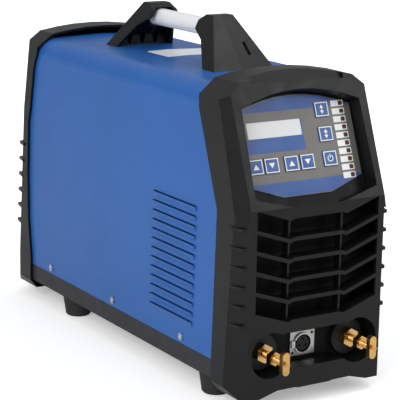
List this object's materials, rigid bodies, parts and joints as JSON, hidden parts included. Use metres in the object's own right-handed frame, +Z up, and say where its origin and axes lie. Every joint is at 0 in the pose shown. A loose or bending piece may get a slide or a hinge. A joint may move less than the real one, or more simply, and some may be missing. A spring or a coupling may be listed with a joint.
{
  "type": "tig welding power source",
  "caption": "Portable inverter welding power source: louvred sheet cover between moulded end bezels, leaning control panel, grille, brass stud terminals, bar handle.",
  "frame": {"origin": "middle of the overall box's underside, on the floor under the feet", "axes": "+X to the right seen from the panel, +Y from the panel to the rear, +Z up"},
  "size_m": [0.194, 0.559, 0.384],
  "materials": {
    "cover_paint": "gloss blue",
    "tray_paint": "satin dark grey",
    "bezel_plastic": "fine grain, near black",
    "panel_paint": "satin black",
    "carrier_plastic": "black",
    "overlay_film": "printed film in blue and warm grey",
    "display_glass": "clear window over a pale screen",
    "display_board": "module",
    "board_laminate": "green laminate",
    "led_lens": "unlit dark red",
    "key_plastic": "blue",
    "insulator_plastic": "black",
    "terminal_brass": "turned brass",
    "socket_metal": "satin nickel colour",
    "bar_metal": "pale satin",
    "fastener_steel": "bright zinc",
    "foot_rubber": "black",
    "label_film": "blank pale film",
    "fan_plastic": "black",
    "guard_steel": "zinc",
    "rocker_plastic": "red",
    "capacitor_sleeve": "dark sleeve",
    "heatsink_metal": "bare extrusion",
    "ferrite": "core",
    "winding_copper": "copper"
  },
  "bodies": {
    "case": {"base_tray": "tray_paint", "top_cover": "cover_paint", "front_bezel": "bezel_plastic", "rear_bezel": "bezel_plastic", "front_inner_panel": "panel_paint", "rear_inner_panel": "panel_paint", "panel_carrier": "carrier_plastic", "panel_overlay": "overlay_film", "display_window": "display_glass", "display_module": "display_board", "control_board": "board_laminate", "indicator_leds": "led_lens", "terminal_insulators": "insulator_plastic", "terminal_hex_bases": "terminal_brass", "terminal_studs": "terminal_brass", "terminal_lock_nuts": "terminal_brass", "control_socket_shell": "socket_metal", "control_socket_insert": "insulator_plastic", "front_tower": "bezel_plastic", "rear_tower": "bezel_plastic", "handle_bar": "bar_metal", "tower_bolts": "fastener_steel", "cover_screws": "fastener_steel", "feet": "foot_rubber", "foot_screws": "fastener_steel", "top_label": "label_film", "fan_frame": "fan_plastic", "fan_guard": "guard_steel", "power_switch_body": "insulator_plastic", "mains_gland": "insulator_plastic", "earth_stud": "terminal_brass", "power_board": "board_laminate", "board_standoffs": "fastener_steel", "capacitors": "capacitor_sleeve", "heatsink": "heatsink_metal", "heatsink_rails": "guard_steel", "igbt_modules": "insulator_plastic", "diode_modules": "insulator_plastic", "transformer_core": "ferrite", "transformer_winding": "winding_copper", "inductor_core": "ferrite", "inductor_winding": "winding_copper", "busbar_left": "winding_copper", "busbar_right": "winding_copper"},
    "key_current_up": {"key_current_up": "key_plastic"},
    "key_current_down": {"key_current_down": "key_plastic"},
    "key_time_up": {"key_time_up": "key_plastic"},
    "key_time_down": {"key_time_down": "key_plastic"},
    "key_mode": {"key_mode": "key_plastic"},
    "key_program": {"key_program": "key_plastic"},
    "key_power": {"key_power": "key_plastic"},
    "socket_latch": {"socket_latch": "socket_metal"},
    "fan_rotor": {"fan_rotor": "fan_plastic"},
    "power_switch_rocker": {"power_switch_rocker": "rocker_plastic"},
    "clamp_nut_left": {"clamp_nut_left": "terminal_brass"},
    "clamp_nut_right": {"clamp_nut_right": "terminal_brass"},
    "clamp_bar_left": {"clamp_bar_left": "terminal_brass"},
    "clamp_bar_right": {"clamp_bar_right": "terminal_brass"}
  },
  "joints": [
    {"name": "key_current_up_press", "type": "slide", "parent": "case", "child": "key_current_up", "axis": [0, 0.9336, -0.3584], "range_m": [0, 0.0008], "stiffness_N_per_m": 1500, "springref_m": -0.0002},
    {"name": "key_current_down_press", "type": "slide", "parent": "case", "child": "key_current_down", "axis": [0, 0.9336, -0.3584], "range_m": [0, 0.0008], "stiffness_N_per_m": 1500, "springref_m": -0.0002},
    {"name": "key_time_up_press", "type": "slide", "parent": "case", "child": "key_time_up", "axis": [0, 0.9336, -0.3584], "range_m": [0, 0.0008], "stiffness_N_per_m": 1500, "springref_m": -0.0002},
    {"name": "key_time_down_press", "type": "slide", "parent": "case", "child": "key_time_down", "axis": [0, 0.9336, -0.3584], "range_m": [0, 0.0008], "stiffness_N_per_m": 1500, "springref_m": -0.0002},
    {"name": "key_mode_press", "type": "slide", "parent": "case", "child": "key_mode", "axis": [0, 0.9336, -0.3584], "range_m": [0, 0.0008], "stiffness_N_per_m": 1500, "springref_m": -0.0002},
    {"name": "key_program_press", "type": "slide", "parent": "case", "child": "key_program", "axis": [0, 0.9336, -0.3584], "range_m": [0, 0.0008], "stiffness_N_per_m": 1500, "springref_m": -0.0002},
    {"name": "key_power_press", "type": "slide", "parent": "case", "child": "key_power", "axis": [0, 0.9336, -0.3584], "range_m": [0, 0.0008], "stiffness_N_per_m": 1500, "springref_m": -0.0002},
    {"name": "socket_latch_press", "type": "slide", "parent": "case", "child": "socket_latch", "axis": [0, 1, 0], "range_m": [0, 0.002], "stiffness_N_per_m": 800, "springref_m": -0.0005},
    {"name": "fan_spin", "type": "hinge", "parent": "case", "child": "fan_rotor", "pos_m": [0, 0.2199, 0.232], "axis": [0, 1, 0], "continuous": true},
    {"name": "mains_switch_rock", "type": "hinge", "parent": "case", "child": "power_switch_rocker", "pos_m": [0.04, 0.2395, 0.128], "axis": [-1, 0, 0], "range_deg": [0, 18]},
    {"name": "clamp_nut_left_turn", "type": "hinge", "parent": "case", "child": "clamp_nut_left", "pos_m": [-0.055, -0.253, 0.058], "axis": [0, 1, 0], "range_deg": [-180, 180]},
    {"name": "clamp_bar_left_turn", "type": "hinge", "parent": "case", "child": "clamp_bar_left", "pos_m": [-0.055, -0.2725, 0.058], "axis": [0, 1, 0], "range_deg": [-180, 180]},
    {"name": "clamp_nut_right_turn", "type": "hinge", "parent": "case", "child": "clamp_nut_right", "pos_m": [0.055, -0.253, 0.058], "axis": [0, 1, 0], "range_deg": [-180, 180]},
    {"name": "clamp_bar_right_turn", "type": "hinge", "parent": "case", "child": "clamp_bar_right", "pos_m": [0.055, -0.2725, 0.058], "axis": [0, 1, 0], "range_deg": [-180, 180]}
  ]
}
